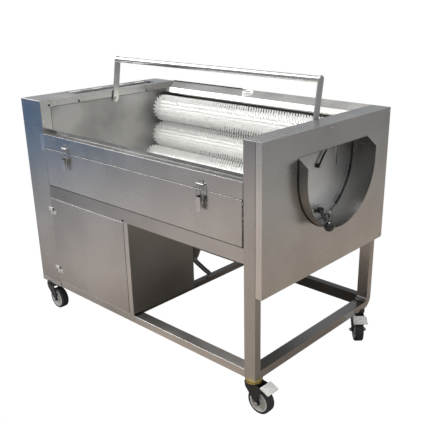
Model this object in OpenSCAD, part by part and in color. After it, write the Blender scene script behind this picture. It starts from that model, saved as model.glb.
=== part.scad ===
// Vegetable washing machine: brush rollers in a stainless cabinet on casters.
// Lengths are in mm. The machine is drawn from its left, front, floor corner
// and then moved so that the origin is under the middle of its outer box.

/* [Cabinet] */
// Length over the two end boxes
body_len = 1400; // [1300:10:1500]
// Depth from front to rear
body_depth = 800; // [780:10:860]
// Height of the end boxes above the floor
body_height = 1025; // [1015:5:1060]
// Thickness of the folded sheets
sheet = 2; // [1.5:0.25:2.5]
// Thickness of the plates that carry the bearings
wall_t = 3; // [2:0.5:5]
// Width of the left drive box
left_w = 150; // [145:1:165]
// Height of the lower edge of the right end plate
plate_low = 475; // [440:5:520]
// Height of the strip that frames the left inner wall
strip_h = 31; // [26:1:36]
// Width of the front strip that frames the left inner wall
strip_w = 50; // [40:1:60]

/* [Frame] */
// Wide side of the frame tube
tube_w = 50; // [44:1:54]
// Narrow side of the frame tube
tube_t = 32; // [28:1:36]
// Wall of the frame tube
tube_wall = 2; // [1.5:0.5:3]
// Outer radius of the bent rear corner
bend_r = 50; // [45:1:60]
// Distance from the right end plate to the leg
leg_inset = 30; // [28:1:34]
// Depth of the front beams
beam_d = 45; // [40:1:50]
// Height of the upper front beam
beam_h = 61; // [55:1:66]
// Height of the lower front beam
low_beam_h = 57; // [50:1:60]
// Height of the middle cross rail
cross_h = 25; // [20:1:30]
// Width of the middle cross rail
cross_w = 30; // [25:1:40]

/* [Roller bed] */
// Bed centre below the top of the end boxes
bed_drop = 163; // [158:1:168]
// Bed centre behind the middle of the machine
bed_back = 14; // [4:1:20]
// Clear radius between the rollers, and of the chute
nest_r = 220; // [214:1:224]
// Radius over the bristle tips
roller_r = 64; // [60:0.5:66]
// Radius of the roller core
core_r = 40; // [34:1:42]
// Gap between neighbouring bristle tips
roller_gap = 4.6; // [4:0.2:6]
// Angle of the rear roller from straight down
first_angle = 98.5; // [96:0.5:101]
// Radius of the roller shaft
shaft_r = 12.5; // [10:0.5:14]
// Half width of one square bristle tuft
tuft_r = 7; // [4:0.5:8]
// Tufts on each roller
tufts = 70; // [60:5:70]
// Gap from the end walls to the bristles
end_gap = 17; // [14:1:24]

/* [Drive] */
// Chain pitch
pitch = 15.875; // [14:0.125:16.5]
// Teeth of the roller sprockets
teeth = 18; // [16:1:19]
// Teeth of the motor sprocket
motor_teeth = 12; // [11:1:14]
// Teeth of the driven sprocket
driven_teeth = 24; // [22:1:25]
// Sprocket thickness
sprocket_t = 8; // [6:0.5:9]
// Radius of the motor body
motor_r = 75; // [65:1:80]

/* [Outlet] */
// Chute length beyond the right end plate
chute_out = 40; // [30:1:44]
// Height from the bed centre to the top of the chute
chute_rise = 75; // [72:1:80]
// Fall of the chute rim
rim_fall = 30; // [20:1:36]
// Gap around the discharge door
door_gap = 3; // [2.5:0.25:5]
// Radius of the door hinge rod
rod_r = 5; // [4:0.5:6]
// Radius of the ball knob
knob_r = 20; // [17:0.5:20]
// Radius of the latch rod
lever_r = 7; // [5:0.5:8]

/* [Bail] */
// Radius of the bail bar
bail_r = 12.5; // [10:0.5:14]
// Height of the bail bar above its pivots
bail_rise = 179; // [165:1:190]
// Rearward lean of the bail
bail_lean = 29; // [20:1:36]
// Width of the bail arms
bail_w = 30; // [28:1:36]
// Thickness of the bail arms
bail_t = 6; // [5:0.5:8]

/* [Water] */
// Clearance from the lowest bristles to the tray
tray_gap = 46.6; // [44:0.2:50]
// Radius of the funnel collar
funnel_r = 46; // [40:1:47]
// Radius of the drain hose
hose_r = 11; // [9:0.5:12]
// Radius of the spray pipe
spray_r = 9; // [7:0.5:10]
// Radius of the inlet socket
inlet_r = 25; // [22:0.5:25.5]
// Bore radius of the inlet socket
inlet_bore = 16; // [12:0.5:18]

/* [Casters] */
// Frame height above the floor
frame_z = 135; // [132:1:145]
// Wheel radius
wheel_r = 51; // [46:1:52]
// Wheel width
wheel_w = 36; // [30:1:38]
// Trail of the caster
trail = 35; // [30:1:38]
// Radius of the swivel ring
ring_r = 33; // [30:1:36]

/* [Hidden] */
$fn = 64;
fit = 0.05;
slack = 0.3;
knob_reach = 62.5;
latch_out = 18;
top = body_height;
knob_x = body_len + knob_reach;
mid_x = (knob_x + knob_r) / 2;
mid_y = (body_depth - latch_out) / 2;
// stations along the length
wall_x = left_w - sheet;
leg_x = body_len - leg_inset - tube_w;
wall_r = leg_x - wall_t;
brush_x0 = wall_x + end_gap;
brush_x1 = wall_r - end_gap;
brush_len = brush_x1 - brush_x0;
// roller bed
bed_y = body_depth / 2 + bed_back;
bed_z = top - bed_drop;
bed_r = nest_r + roller_r;
rollers = 7;
last = rollers - 1;
step = 2 * asin((roller_r + roller_gap / 2) / bed_r);
function ra(k) = first_angle - k * step;
function ry(k) = bed_y + bed_r * sin(ra(k));
function rz(k) = bed_z - bed_r * cos(ra(k));
// levels of the front
beam_top = top - 143;
beam_low = beam_top - beam_h;
low_top = beam_low - 174;
low_low = low_top - low_beam_h;
rail_top = frame_z + tube_t;
box_z = rail_top + 7;
cross_x = 645;
tray_z = min([for (k = [0:last]) rz(k)]) - roller_r - tray_gap;
wall_low = tray_z - 12;
// drive box
loop_x = wall_x - 36;
prim_x = loop_x - 24;
motor_y = body_depth / 4;
motor_z = frame_z + 195;
box_r = 695;
hinge_z = [rail_top + 50, low_low - 79];
gear_x0 = left_w + 10;
gear_x1 = left_w + 150;
function pr(n) = pitch / (2 * sin(180 / n));
// hatch
hatch_y0 = 225;
hatch_y1 = body_depth - 95;
hatch_z = 420;
pin_x = 32;
pin_z = top - 11;
knuckles = 7;
knuckle_gap = 5;
knuckle_len = (hatch_y1 - hatch_y0 - 20 - knuckle_gap * (knuckles - 1)) / knuckles;
function knuckle_y(i) = hatch_y0 + 10 + i * (knuckle_len + knuckle_gap);
// outlet
chute_top = bed_z + chute_rise;
chute_x1 = body_len + chute_out;
rod_x = wall_r + wall_t + 16;
rod_z = chute_top - 17;
door_x = wall_r + wall_t + 6;
door_r = nest_r - door_gap;
strap_y = 134;
lever_y = bed_y - 9;
lever_z = bed_z - nest_r + 44;
knob_y = bed_y - 113;
knob_z = lever_z - 8;
// bail
bail_y = body_depth / 2 + 9;
bail_z = top - 40;
// water
tray_f = bed_y - 59;
tray_b = bed_y + 105;
rim_z = low_top - 5;
funnel_x = 655;
funnel_y = bed_y;
box_back = funnel_y - funnel_r - 3;
nozzle_z = tray_z - 186;
spray_y = body_depth - 29;
spray_z = top - 54;
inlet_x = 676;
// latches
latch_z = beam_low - 31;
latch_l = 309;
latch_r = body_len - 275;
// casters, as x, y and trail angle
cast_fr = [leg_x + 25, 25, 0];
cast_fl = [52, 25, 0];
cast_rr = [leg_x + 25, body_depth - 65, -47];
cast_rl = [52, body_depth - 65, -60];
crown_z = frame_z - 13.3;
pedal_u = trail + 20;
pedal_z = frame_z - 22;
// drain hose route: down from the nozzle, round a bend, along the cross rail
hose_n = 10;
hose_route = [
  [655, 0, 0],
  [655, 2, -24],
  [656, 10, -48],
  [658, 25, -68],
  [660, 45, -84],
  [662, 68, -95],
  [663, 92, -100]
];

// move the machine so that the origin is under the middle of its outer box
module m() {
  translate([-mid_x, -mid_y, 0]) children();
}
// box between two corners
module box(a, b) {
  translate(a) cube(b - a);
}
// drawing in the YZ plane, pulled along X
module pull(x0, x1) {
  translate([x0, 0, 0]) rotate([90, 0, 90]) linear_extrude(x1 - x0) children();
}
// round bar along X
module rod_x_bar(x0, x1, y, z, r) {
  translate([x0, y, z]) rotate([0, 90, 0]) cylinder(r = r, h = x1 - x0);
}
// round bar along Y
module rod_y_bar(y0, y1, x, z, r) {
  translate([x, y1, z]) rotate([90, 0, 0]) cylinder(r = r, h = y1 - y0);
}
// round bar between two points
module bar(a, b, r) {
  d = b - a;
  h = norm(d);
  translate(a) rotate([0, acos(d[2] / h), atan2(d[1], d[0])]) cylinder(r = r, h = h);
}

// U shaped end frame: leg, bottom rail with one bent corner, leg
module end_outline(y0, y1, z1, in, r) {
  difference() {
    translate([y0 + in, frame_z + in]) square([y1 - y0 - 2 * in, z1 - frame_z]);
    translate([y0 + tube_t - in, rail_top - in])
      difference() {
        square([y1 - y0 - 2 * tube_t + 2 * in, z1]);
        corner(y1 - y0 - 2 * tube_t + 2 * in, r - tube_t + in);
      }
    translate([y0 + in, frame_z + in]) corner(y1 - y0 - 2 * in, r - in);
  }
}
// what a rounding of radius r takes off the lower corner at width w
module corner(w, r) {
  translate([w - r, 0]) difference() {
    translate([0, -1]) square([r + 1, r + 1]);
    translate([0, r]) circle(r);
    translate([-1, r]) square([r + 3, 2]);
  }
}
module end_frame(x0, y0, y1) {
  difference() {
    pull(x0, x0 + tube_w) end_outline(y0, y1, top - sheet, 0, bend_r);
    pull(x0 + tube_wall, x0 + tube_w - tube_wall)
      end_outline(y0, y1, top + 5, tube_wall, bend_r);
  }
}
module right_end_frame() {
  m() color("silver") end_frame(leg_x, 0, body_depth);
}
module left_end_frame() {
  m() color("silver") end_frame(10, sheet, body_depth - sheet);
}
// open rectangular tube along X
module tube_along_x(x0, x1, y0, y1, z0, z1) {
  difference() {
    box([x0, y0, z0], [x1, y1, z1]);
    box([x0 - 1, y0 + tube_wall, z0 + tube_wall], [x1 + 1, y1 - tube_wall, z1 - tube_wall]);
  }
}
// front and rear rail with the middle cross rail between them
module bottom_rails() {
  y0 = sheet + tube_w;
  y1 = body_depth - sheet - tube_t;
  m() color("silver") {
    tube_along_x(10 + tube_w, leg_x, sheet, y0, frame_z, rail_top);
    tube_along_x(10 + tube_w, leg_x, y1, body_depth - sheet, frame_z, frame_z + tube_w);
    difference() {
      box([cross_x, y0, box_z - cross_h], [cross_x + cross_w, y1, box_z]);
      box([cross_x + tube_wall, y0 - 1, box_z - cross_h + tube_wall],
        [cross_x + cross_w - tube_wall, y1 + 1, box_z - tube_wall]);
    }
  }
}
// front beam, tucked behind the front sheet of the drive box
module front_beam(z0, z1) {
  m() color("silver") difference() {
    tube_along_x(wall_x, wall_r, 0, beam_d, z0, z1);
    box([wall_x - 1, -1, z0 - 1], [left_w, sheet, z1 + 1]);
  }
}
module top_beam() { front_beam(beam_low, beam_top); }
module lower_beam() { front_beam(low_low, low_top); }

// folded cover of the drive box, with the hatch opening and the service slot
module left_end_shell() {
  y1 = body_depth;
  m() color("lightsteelblue") difference() {
    union() {
      box([0, 0, frame_z], [left_w, sheet, top]);
      box([0, y1 - sheet, frame_z], [left_w, y1, top]);
      box([0, 0, frame_z], [sheet, y1, top]);
      box([0, 0, top - sheet], [left_w, y1, top]);
      box([left_w - sheet, 0, top - strip_h], [left_w, y1, top]);
      box([left_w - sheet, 0, beam_top], [left_w, strip_w, top]);
    }
    box([-1, hatch_y0 - 2, hatch_z - 2], [sheet + 1, hatch_y1 + 2, top + 1]);
    box([-1, hatch_y0 - 2, top - sheet - 1], [pin_x + 15, hatch_y1 + 2, top + 1]);
    box([57, hatch_y0, top - sheet - 1], [105, hatch_y1, top + 1]);
  }
  // fixed leaves and pins of the motor door hinges
  m() color("silver") for (z = hinge_z) {
    box([left_w - 24, -sheet, z + 14], [left_w + 5, 0, z + 28]);
    translate([left_w + 5, -4, z + 14]) cylinder(r = 4, h = 14);
    translate([left_w + 5, -4, z]) cylinder(r = 2, h = 20);
  }
}
module left_inner_wall() {
  m() color("gainsboro") difference() {
    box([wall_x - wall_t, 4, wall_low], [wall_x, body_depth - 4, top - 4]);
    for (k = [0:last])
      rod_x_bar(wall_x - wall_t - 1, wall_x + 1, ry(k), rz(k), shaft_r + 4);
    rod_x_bar(wall_x - wall_t - 1, wall_x + 1, bail_y, bail_z, 5 + fit);
  }
}
// fixed leaf, fixed knuckles and pin of the hatch
module hatch_hinge() {
  m() color("silver") {
    rod_y_bar(hatch_y0 + 10, hatch_y1 - 10, pin_x, pin_z, 4);
    for (i = [0:2:knuckles - 1]) {
      rod_y_bar(knuckle_y(i), knuckle_y(i) + knuckle_len, pin_x, pin_z, 11);
      box([pin_x, knuckle_y(i), top - sheet - 4],
        [57, knuckle_y(i) + knuckle_len, top - sheet]);
    }
  }
}
// L shaped hatch of the drive box with its own knuckles
module drive_hatch() {
  m() color("lightsteelblue") {
    box([0, hatch_y0, hatch_z], [sheet, hatch_y1, top]);
    box([0, hatch_y0, top - sheet], [pin_x - 12, hatch_y1, top]);
    for (i = [1:2:knuckles - 2])
      difference() {
        union() {
          rod_y_bar(knuckle_y(i), knuckle_y(i) + knuckle_len, pin_x, pin_z, 11);
          box([8, knuckle_y(i), top - sheet - 4],
            [pin_x, knuckle_y(i) + knuckle_len, top - sheet]);
        }
        rod_y_bar(knuckle_y(i) - 1, knuckle_y(i) + knuckle_len + 1, pin_x, pin_z, 4 + fit);
      }
  }
}

// outline of the chute: half round below, straight above
module chute_outline(r, up) {
  translate([bed_y, bed_z]) {
    circle(r);
    translate([-r, 0]) square([2 * r, up]);
  }
}
module chute_hole(r, up) {
  intersection() {
    chute_outline(r, up);
    translate([bed_y - r, bed_z - r]) square([2 * r, r + up]);
  }
}
// right end cover: plate with front, rear and top returns
module right_end_cover() {
  y1 = body_depth;
  m() color("gainsboro") {
    pull(body_len - sheet, body_len) difference() {
      polygon([[0, plate_low], [y1 - 6, plate_low], [y1, plate_low + 6], [y1, top], [0, top]]);
      chute_hole(nest_r + sheet + 0.4, chute_rise + sheet + 0.4);
    }
    box([leg_x + tube_w + 2, 0, plate_low], [body_len - sheet, sheet, top]);
    box([leg_x + tube_w + 2, y1 - sheet, plate_low + 6], [body_len - sheet, y1, top]);
    box([leg_x - 5, 0, top - sheet], [body_len - sheet, y1, top]);
  }
}
module right_inner_wall() {
  m() color("gainsboro") difference() {
    box([wall_r, 4, wall_low], [wall_r + wall_t, body_depth - 4, top - 4]);
    pull(wall_r - 1, wall_r + wall_t + 1) chute_hole(nest_r, chute_rise);
    for (k = [0:last])
      rod_x_bar(wall_r - 1, wall_r + wall_t + 1, ry(k), rz(k), shaft_r + 4);
    rod_x_bar(wall_r - 1, wall_r + wall_t + 1, bail_y, bail_z, 5 + fit);
  }
}
// D shaped chute, open on top beyond the plate, with a falling rim
module discharge_chute() {
  m() color("gainsboro") difference() {
    pull(wall_r + wall_t, chute_x1) difference() {
      chute_hole(nest_r + sheet, chute_rise + sheet);
      chute_hole(nest_r, chute_rise);
    }
    translate([0, body_depth, 0]) rotate([90, 0, 0]) linear_extrude(body_depth)
      polygon([[body_len, chute_top], [body_len, chute_top + 20], [chute_x1 + 9, chute_top + 20],
        [chute_x1 + 9, chute_top - rim_fall * (chute_out + 9) / chute_out]]);
  }
}
// hanging door with a folded edge, two straps between notches, and the latch bush
module discharge_door() {
  up = rod_z - 12 - bed_z;
  m() color("gainsboro") difference() {
    union() {
      pull(door_x, door_x + sheet) chute_hole(door_r, up);
      pull(door_x + sheet, door_x + 10) difference() {
        chute_hole(door_r, up);
        chute_hole(door_r - sheet, up + 1);
      }
      for (s = [-1, 1]) {
        box([door_x + sheet, bed_y + s * strap_y - 13, rod_z - 85],
          [door_x + sheet + 4, bed_y + s * strap_y + 13, rod_z]);
        rod_y_bar(bed_y + s * strap_y - 13, bed_y + s * strap_y + 13, rod_x, rod_z, rod_r + 3);
      }
      rod_x_bar(door_x, door_x + 18, lever_y, lever_z, lever_r + 8);
      box([door_x + sheet, lever_y - 32, lever_z - 11],
        [door_x + sheet + 4, lever_y + 32, lever_z + 11]);
    }
    for (s = [-1, 1]) {
      rod_y_bar(bed_y + s * strap_y - 14, bed_y + s * strap_y + 14, rod_x, rod_z, rod_r + fit);
      for (t = [-19, 14])
        box([door_x - 1, bed_y + s * strap_y + t, rod_z - 48], [door_x + 11, bed_y + s * strap_y + t + 5, rod_z]);
    }
    rod_x_bar(door_x - 1, door_x + 19, lever_y, lever_z, lever_r + fit);
  }
}
// rod of the door with four hangers under the chute roof
module door_hinge_rod() {
  m() color("dimgray") {
    rod_y_bar(bed_y - 190, bed_y + 190, rod_x, rod_z, rod_r);
    for (y = [-190, -84, 76, 182])
      box([rod_x - rod_r, bed_y + y, rod_z - rod_r], [rod_x + rod_r, bed_y + y + 8, chute_top]);
  }
}
// latch: cam inside the door, shaft through the bush, rod out to the knob
module latch_lever() {
  a = [door_x + 26, lever_y, lever_z];
  b = [knob_x, knob_y, knob_z];
  n = (b - a) / norm(b - a);
  m() color("silver") {
    rod_x_bar(door_x - 5.5, door_x + 32, lever_y, lever_z, lever_r);
    box([door_x - 5.5, lever_y - 8, bed_z - nest_r + 2], [door_x - 0.5, lever_y + 8, lever_z]);
    rod_x_bar(door_x + 18.3, door_x + 34, lever_y, lever_z, lever_r + 5);
    bar(a, b - n * 6, lever_r);
  }
}
module ball_knob() {
  a = [door_x + 26, lever_y, lever_z];
  b = [knob_x, knob_y, knob_z];
  n = (b - a) / norm(b - a);
  m() color("black") difference() {
    union() {
      translate(b) sphere(knob_r);
      bar(b - n * (knob_r + 5), b, lever_r + 3);
    }
    bar(b - n * (knob_r + 9), b - n * 6, lever_r + fit);
  }
}

// rear sheet with the sloping deflector and its lip
module rear_panel() {
  y1 = body_depth;
  m() color("gainsboro") difference() {
    pull(left_w, wall_r)
      polygon([[y1, low_low], [y1, top], [y1 - 55, top - 24], [y1 - 76, top - 44],
        [y1 - 76 + sheet * 0.7, top - 44 - sheet * 0.71],
        [y1 - 55 + sheet * 0.57, top - 24 - sheet * 0.84],
        [y1 - sheet, top - sheet * 1.55], [y1 - sheet, low_low]]);
    translate([inlet_x, spray_y, spray_z]) cylinder(r = inlet_r + 0.4, h = 90);
  }
}
// folded sheet from the upper beam down to the front roller
module front_deflector() {
  e = [ry(last) - (roller_r + 9) * sin(38), rz(last) + (roller_r + 9) * cos(38)];
  m() color("gainsboro") pull(left_w, wall_r)
    polygon([[beam_d, beam_top - 50], [beam_d + sheet, beam_top - 50],
      [beam_d + sheet, beam_top - 1], e - [2, 1], e, [beam_d + sheet + 1, beam_top + 5],
      [beam_d, beam_top + 5]]);
}
// lift out front panel with folded edges
module front_panel() {
  x0 = left_w + 3;
  x1 = wall_r - 5;
  z0 = low_top + 3;
  z1 = beam_low - 3;
  m() color("gainsboro") {
    box([x0, 0, z0], [x1, sheet, z1]);
    box([x0, 0, z0], [x1, 16, z0 + sheet]);
    box([x0, 0, z1 - sheet], [x1, 16, z1]);
  }
}
// water tray under the rollers, with its funnel and nozzle
module water_tray() {
  y1 = body_depth - sheet;
  a = sheet * 1.15;
  m() color("silver") {
    difference() {
      pull(wall_x, wall_r)
        polygon([[beam_d, rim_z + 6], [beam_d + sheet, rim_z + 6], [beam_d + sheet, rim_z],
          [tray_f, tray_z], [tray_b, tray_z], [y1 - sheet, rim_z], [y1 - sheet, rim_z + 6],
          [y1, rim_z + 6], [y1, rim_z - a + 1], [tray_b + 0.6, tray_z - sheet],
          [tray_f - 0.6, tray_z - sheet], [beam_d, rim_z - a + 1]]);
      translate([funnel_x, funnel_y, tray_z - sheet - 1]) cylinder(r = funnel_r - sheet, h = 9);
    }
    translate([funnel_x, funnel_y, 0]) rotate_extrude()
      polygon([[funnel_r - sheet, tray_z], [funnel_r, tray_z], [funnel_r, tray_z - 88],
        [17, tray_z - 172], [hose_r + 1, nozzle_z + 10], [hose_r + 1, nozzle_z],
        [hose_r - 1, nozzle_z], [hose_r - 1, nozzle_z + 9], [15, tray_z - 171],
        [funnel_r - sheet, tray_z - 87]]);
  }
}
// short drain hose: rings of points along the route, joined by side faces
module drain_hose() {
  n = len(hose_route);
  p = [for (q = hose_route) [q[0], funnel_y + q[1], nozzle_z + q[2]]];
  t = [for (i = [0:n - 1])
    let (d = p[min(i + 1, n - 1)] - p[max(i - 1, 0)]) i == 0 ? [0, 0, -1] : d / norm(d)];
  pts = [for (i = [0:n - 1]) let (w = cross(t[i], [1, 0, 0]), v = w / norm(w), u = cross(v, t[i]))
    for (j = [0:hose_n - 1])
      p[i] + hose_r * (cos(j * 360 / hose_n) * u + sin(j * 360 / hose_n) * v)];
  sides = [for (i = [0:n - 2]) for (j = [0:hose_n - 1]) let (k = (j + 1) % hose_n)
    [i * hose_n + j, i * hose_n + k, (i + 1) * hose_n + k, (i + 1) * hose_n + j]];
  ends = [[for (j = [hose_n - 1:-1:0]) j], [for (j = [0:hose_n - 1]) (n - 1) * hose_n + j]];
  m() color("black") polyhedron(points = pts, faces = concat(sides, ends), convexity = 4);
}
// perforated spray pipe with its inlet socket in the rear deflector
module spray_pipe() {
  m() color("silver") difference() {
    union() {
      rod_x_bar(wall_x, wall_r, spray_y, spray_z, spray_r);
      translate([inlet_x, spray_y, spray_z]) cylinder(r = inlet_r, h = top - 4 - spray_z);
    }
    rod_x_bar(wall_x + 4, wall_r - 4, spray_y, spray_z, spray_r - 2);
    translate([inlet_x, spray_y, spray_z]) cylinder(r = inlet_bore, h = top);
    for (i = [1:11])
      translate([wall_x + i * (wall_r - wall_x) / 12, spray_y, spray_z])
        rotate([120, 0, 0]) cylinder(r = 2, h = spray_r + 2);
  }
}

// motor box: floor, right wall with front flange, rear wall and sloping roof
module motor_box() {
  x0 = left_w;
  y2 = box_back;
  zr = tray_z - 16;
  m() color("dimgray") {
    box([x0, sheet, box_z], [box_r, y2, box_z + sheet]);
    box([x0, sheet, rail_top], [box_r, 2 * sheet, box_z + sheet]);
    pull(box_r - sheet, box_r)
      polygon([[0, box_z], [y2, box_z], [y2, zr], [75, low_low], [0, low_low]]);
    box([box_r - 25, 0, box_z], [box_r, sheet, low_low]);
    box([x0, y2 - sheet, box_z], [box_r, y2, zr]);
    pull(x0, box_r)
      polygon([[y2, zr], [75, low_low], [sheet, low_low], [sheet, low_low - sheet],
        [75 - 0.5, low_low - sheet], [y2 - sheet, zr - sheet - 0.4], [y2, zr - 4]]);
  }
}
// front door of the motor box with its hinge leaves
module motor_door() {
  x0 = left_w + 5;
  x1 = box_r - 28;
  z0 = rail_top + 5;
  z1 = low_low - 4;
  m() color("gainsboro") {
    box([x0, 0, z0], [x1, sheet, z1]);
    box([x0 + 8, 0, box_z + sheet + 1], [x0 + 8 + sheet, 14, z1 - 4]);
    box([x1 - sheet, 0, box_z + sheet + 1], [x1, 14, z1 - 4]);
    for (z = hinge_z)
      difference() {
        union() {
          box([left_w + 5, -sheet, z], [left_w + 34, 0, z + 13.5]);
          translate([left_w + 5, -4, z]) cylinder(r = 4, h = 13.5);
        }
        translate([left_w + 5, -4, z - 1]) cylinder(r = 2 + fit, h = 16);
      }
  }
}
// worm gear motor on its base
module gear_motor() {
  zb = box_z + sheet;
  m() color("slategray") difference() {
    union() {
      box([gear_x0 - 4, motor_y - 85, zb], [gear_x1 + 250, motor_y + 85, zb + 12]);
      box([gear_x0, motor_y - 70, zb + 12], [gear_x1, motor_y + 70, motor_z + 90]);
      rod_x_bar(gear_x1, gear_x1 + 18, motor_y, motor_z, motor_r + 12);
      rod_x_bar(gear_x1 + 18, gear_x1 + 280, motor_y, motor_z, motor_r - 6);
      for (i = [0:9])
        rod_x_bar(gear_x1 + 30 + i * 20, gear_x1 + 36 + i * 20, motor_y, motor_z, motor_r);
      rod_x_bar(gear_x1 + 226, gear_x1 + 280, motor_y, motor_z, motor_r);
      box([gear_x1 + 60, motor_y - 45, motor_z], [gear_x1 + 170, motor_y + 45, motor_z + motor_r + 35]);
      box([gear_x1 + 90, motor_y - 55, zb + 12], [gear_x1 + 130, motor_y + 55, motor_z]);
      rod_x_bar(gear_x0 - 6, gear_x0, motor_y, motor_z, 34);
    }
    rod_x_bar(gear_x0 - 7, gear_x0 + 60, motor_y, motor_z, shaft_r + fit);
  }
}
// toothed wheel in the YZ plane
module sprocket(x, n) {
  r = pr(n);
  pull(x, x + sprocket_t)
    polygon([for (i = [0:n - 1]) for (c = [[0, -4.5], [0.2, -3.2], [0.38, 4], [0.62, 4], [0.8, -3.2]])
      let (g = (i + c[0]) * 360 / n) (r + c[1]) * [cos(g), sin(g)]]);
}
module drive_sprocket() {
  m() color("dimgray") {
    translate([0, motor_y, motor_z]) sprocket(prim_x, motor_teeth);
    rod_x_bar(prim_x - 6, gear_x0 + 55, motor_y, motor_z, shaft_r);
  }
}
// points of the loop round the roller sprockets, at radius r
function loop_up() = first_angle - last / 2 * step + 180;
function loop_a(k) = k == 0 ? loop_up() : ra(k) + step / 2;
function loop_b(k) = k == last ? loop_up() - 360 : ra(k) - step / 2;
function loop_pts(r) = [for (k = [0:last]) let (n = k == 0 || k == last ? 12 : 4) for (i = [0:n])
  let (g = loop_a(k) + (loop_b(k) - loop_a(k)) * i / n)
    [ry(k) + r * sin(g), rz(k) - r * cos(g)]];
// points of the loop round the motor sprocket and the driven sprocket
function prim_g() = atan2(rz(4) - motor_z, ry(4) - motor_y);
function prim_d() = norm([ry(4) - motor_y, rz(4) - motor_z]);
function prim_c() = acos((pr(motor_teeth) - pr(driven_teeth)) / prim_d());
function prim_pts(o) = [for (i = [0:24]) let (b = i <= 12, g = b
    ? prim_g() - prim_c() + i * prim_c() / 6
    : prim_g() + prim_c() + (i - 13) * (360 - 2 * prim_c()) / 11,
    r = o + (b ? pr(driven_teeth) : pr(motor_teeth)),
    c = b ? [ry(4), rz(4)] : [motor_y, motor_z])
  c + r * [cos(g), sin(g)]];
// link plates on both sides of the teeth, joined by pins on the free runs
module drive_chains() {
  r = pr(teeth);
  m() color("darkgray") {
    for (x = [loop_x - 3, loop_x + sprocket_t + 0.5])
      pull(x, x + 2.5) difference() {
        polygon(loop_pts(r + 6));
        polygon(loop_pts(r - 5));
      }
    for (x = [prim_x - 3, prim_x + sprocket_t + 0.5])
      pull(x, x + 2.5) difference() {
        polygon(prim_pts(6));
        polygon(prim_pts(-5));
      }
    for (k = [0:last - 1]) for (i = [0.44, 0.56])
      let (g = ra(k) - step / 2, y = ry(k) + (ry(k + 1) - ry(k)) * i, z = rz(k) + (rz(k + 1) - rz(k)) * i)
        rod_x_bar(loop_x - 3, loop_x + sprocket_t + 3, y + r * sin(g), z - r * cos(g), 3);
    for (i = [0.2:0.06:0.8])
      let (g = loop_up(), y = ry(last) + (ry(0) - ry(last)) * i,
        z = rz(last) + (rz(0) - rz(last)) * i)
        rod_x_bar(loop_x - 3, loop_x + sprocket_t + 3, y + r * sin(g), z - r * cos(g), 3);
    for (s = [-1, 1]) for (i = [0.36:0.08:0.64])
      let (g = prim_g() + s * prim_c(), n = [cos(g), sin(g)],
        a = [motor_y, motor_z] + pr(motor_teeth) * n, b = [ry(4), rz(4)] + pr(driven_teeth) * n,
        c = a + (b - a) * i)
        rod_x_bar(prim_x - 3, prim_x + sprocket_t + 3, c[0], c[1], 3);
  }
}
// flange bearings outside the two inner walls
module roller_bearings() {
  xl = wall_x - wall_t;
  xr = wall_r + wall_t;
  m() color("gray") for (k = [0:last]) {
    difference() {
      union() {
        rod_x_bar(xl - 6, xl, ry(k), rz(k), 37);
        rod_x_bar(xl - 13, xl - 6, ry(k), rz(k), 24);
      }
      rod_x_bar(xl - 14, xl + 1, ry(k), rz(k), shaft_r + fit);
    }
    difference() {
      union() {
        rod_x_bar(xr, xr + 6, ry(k), rz(k), 37);
        rod_x_bar(xr + 6, xr + 14, ry(k), rz(k), 24);
      }
      rod_x_bar(xr - 1, xr + 15, ry(k), rz(k), shaft_r + fit);
    }
  }
}
// roller: core tube with square tufts set in a helix
module brush(k) {
  m() color("white") translate([0, ry(k), rz(k)]) difference() {
    union() {
      rod_x_bar(brush_x0, brush_x1, 0, 0, core_r);
      for (i = [0:tufts - 1])
        translate([brush_x0 + (i + 0.5) * brush_len / tufts, 0, 0])
          rotate([i * 30 + k * 15, 0, 0]) translate([0, 0, core_r - 4])
            cylinder(r = tuft_r, h = roller_r - core_r + 4, $fn = 4);
    }
    rod_x_bar(brush_x0 - 1, brush_x1 + 1, 0, 0, shaft_r + fit);
  }
}
module brush_1() { brush(0); }
module brush_2() { brush(1); }
module brush_3() { brush(2); }
module brush_4() { brush(3); }
module brush_5() { brush(4); }
module brush_6() { brush(5); }
module brush_7() { brush(6); }
// roller shaft with its sprocket
module shaft(k) {
  x0 = k == 4 ? prim_x - 6 : loop_x - 6;
  m() color("darkgray") translate([0, ry(k), rz(k)]) {
    rod_x_bar(x0, wall_r + wall_t + 18, 0, 0, shaft_r);
    sprocket(loop_x, teeth);
    if (k == 4) sprocket(prim_x, driven_teeth);
  }
}
module shaft_1() { shaft(0); }
module shaft_2() { shaft(1); }
module shaft_3() { shaft(2); }
module shaft_4() { shaft(3); }
module shaft_5() { shaft(4); }
module shaft_6() { shaft(5); }
module shaft_7() { shaft(6); }

// bail: two flat arms and a round bar
module bail_arm(x0) {
  g = atan2(bail_lean, bail_rise);
  pull(x0, x0 + bail_t) translate([bail_y, bail_z]) rotate(-g) difference() {
    union() {
      circle(bail_w / 2);
      translate([0, norm([bail_lean, bail_rise])]) circle(bail_w / 2);
      translate([-bail_w / 2, 0]) square([bail_w, norm([bail_lean, bail_rise])]);
    }
    circle(5 + fit);
  }
}
module bail_handle() {
  m() color("silver") {
    bail_arm(left_w + 2);
    bail_arm(wall_r - 4 - bail_t);
    rod_x_bar(left_w, wall_r - 2, bail_y + bail_lean, bail_z + bail_rise, bail_r);
  }
}
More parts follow.
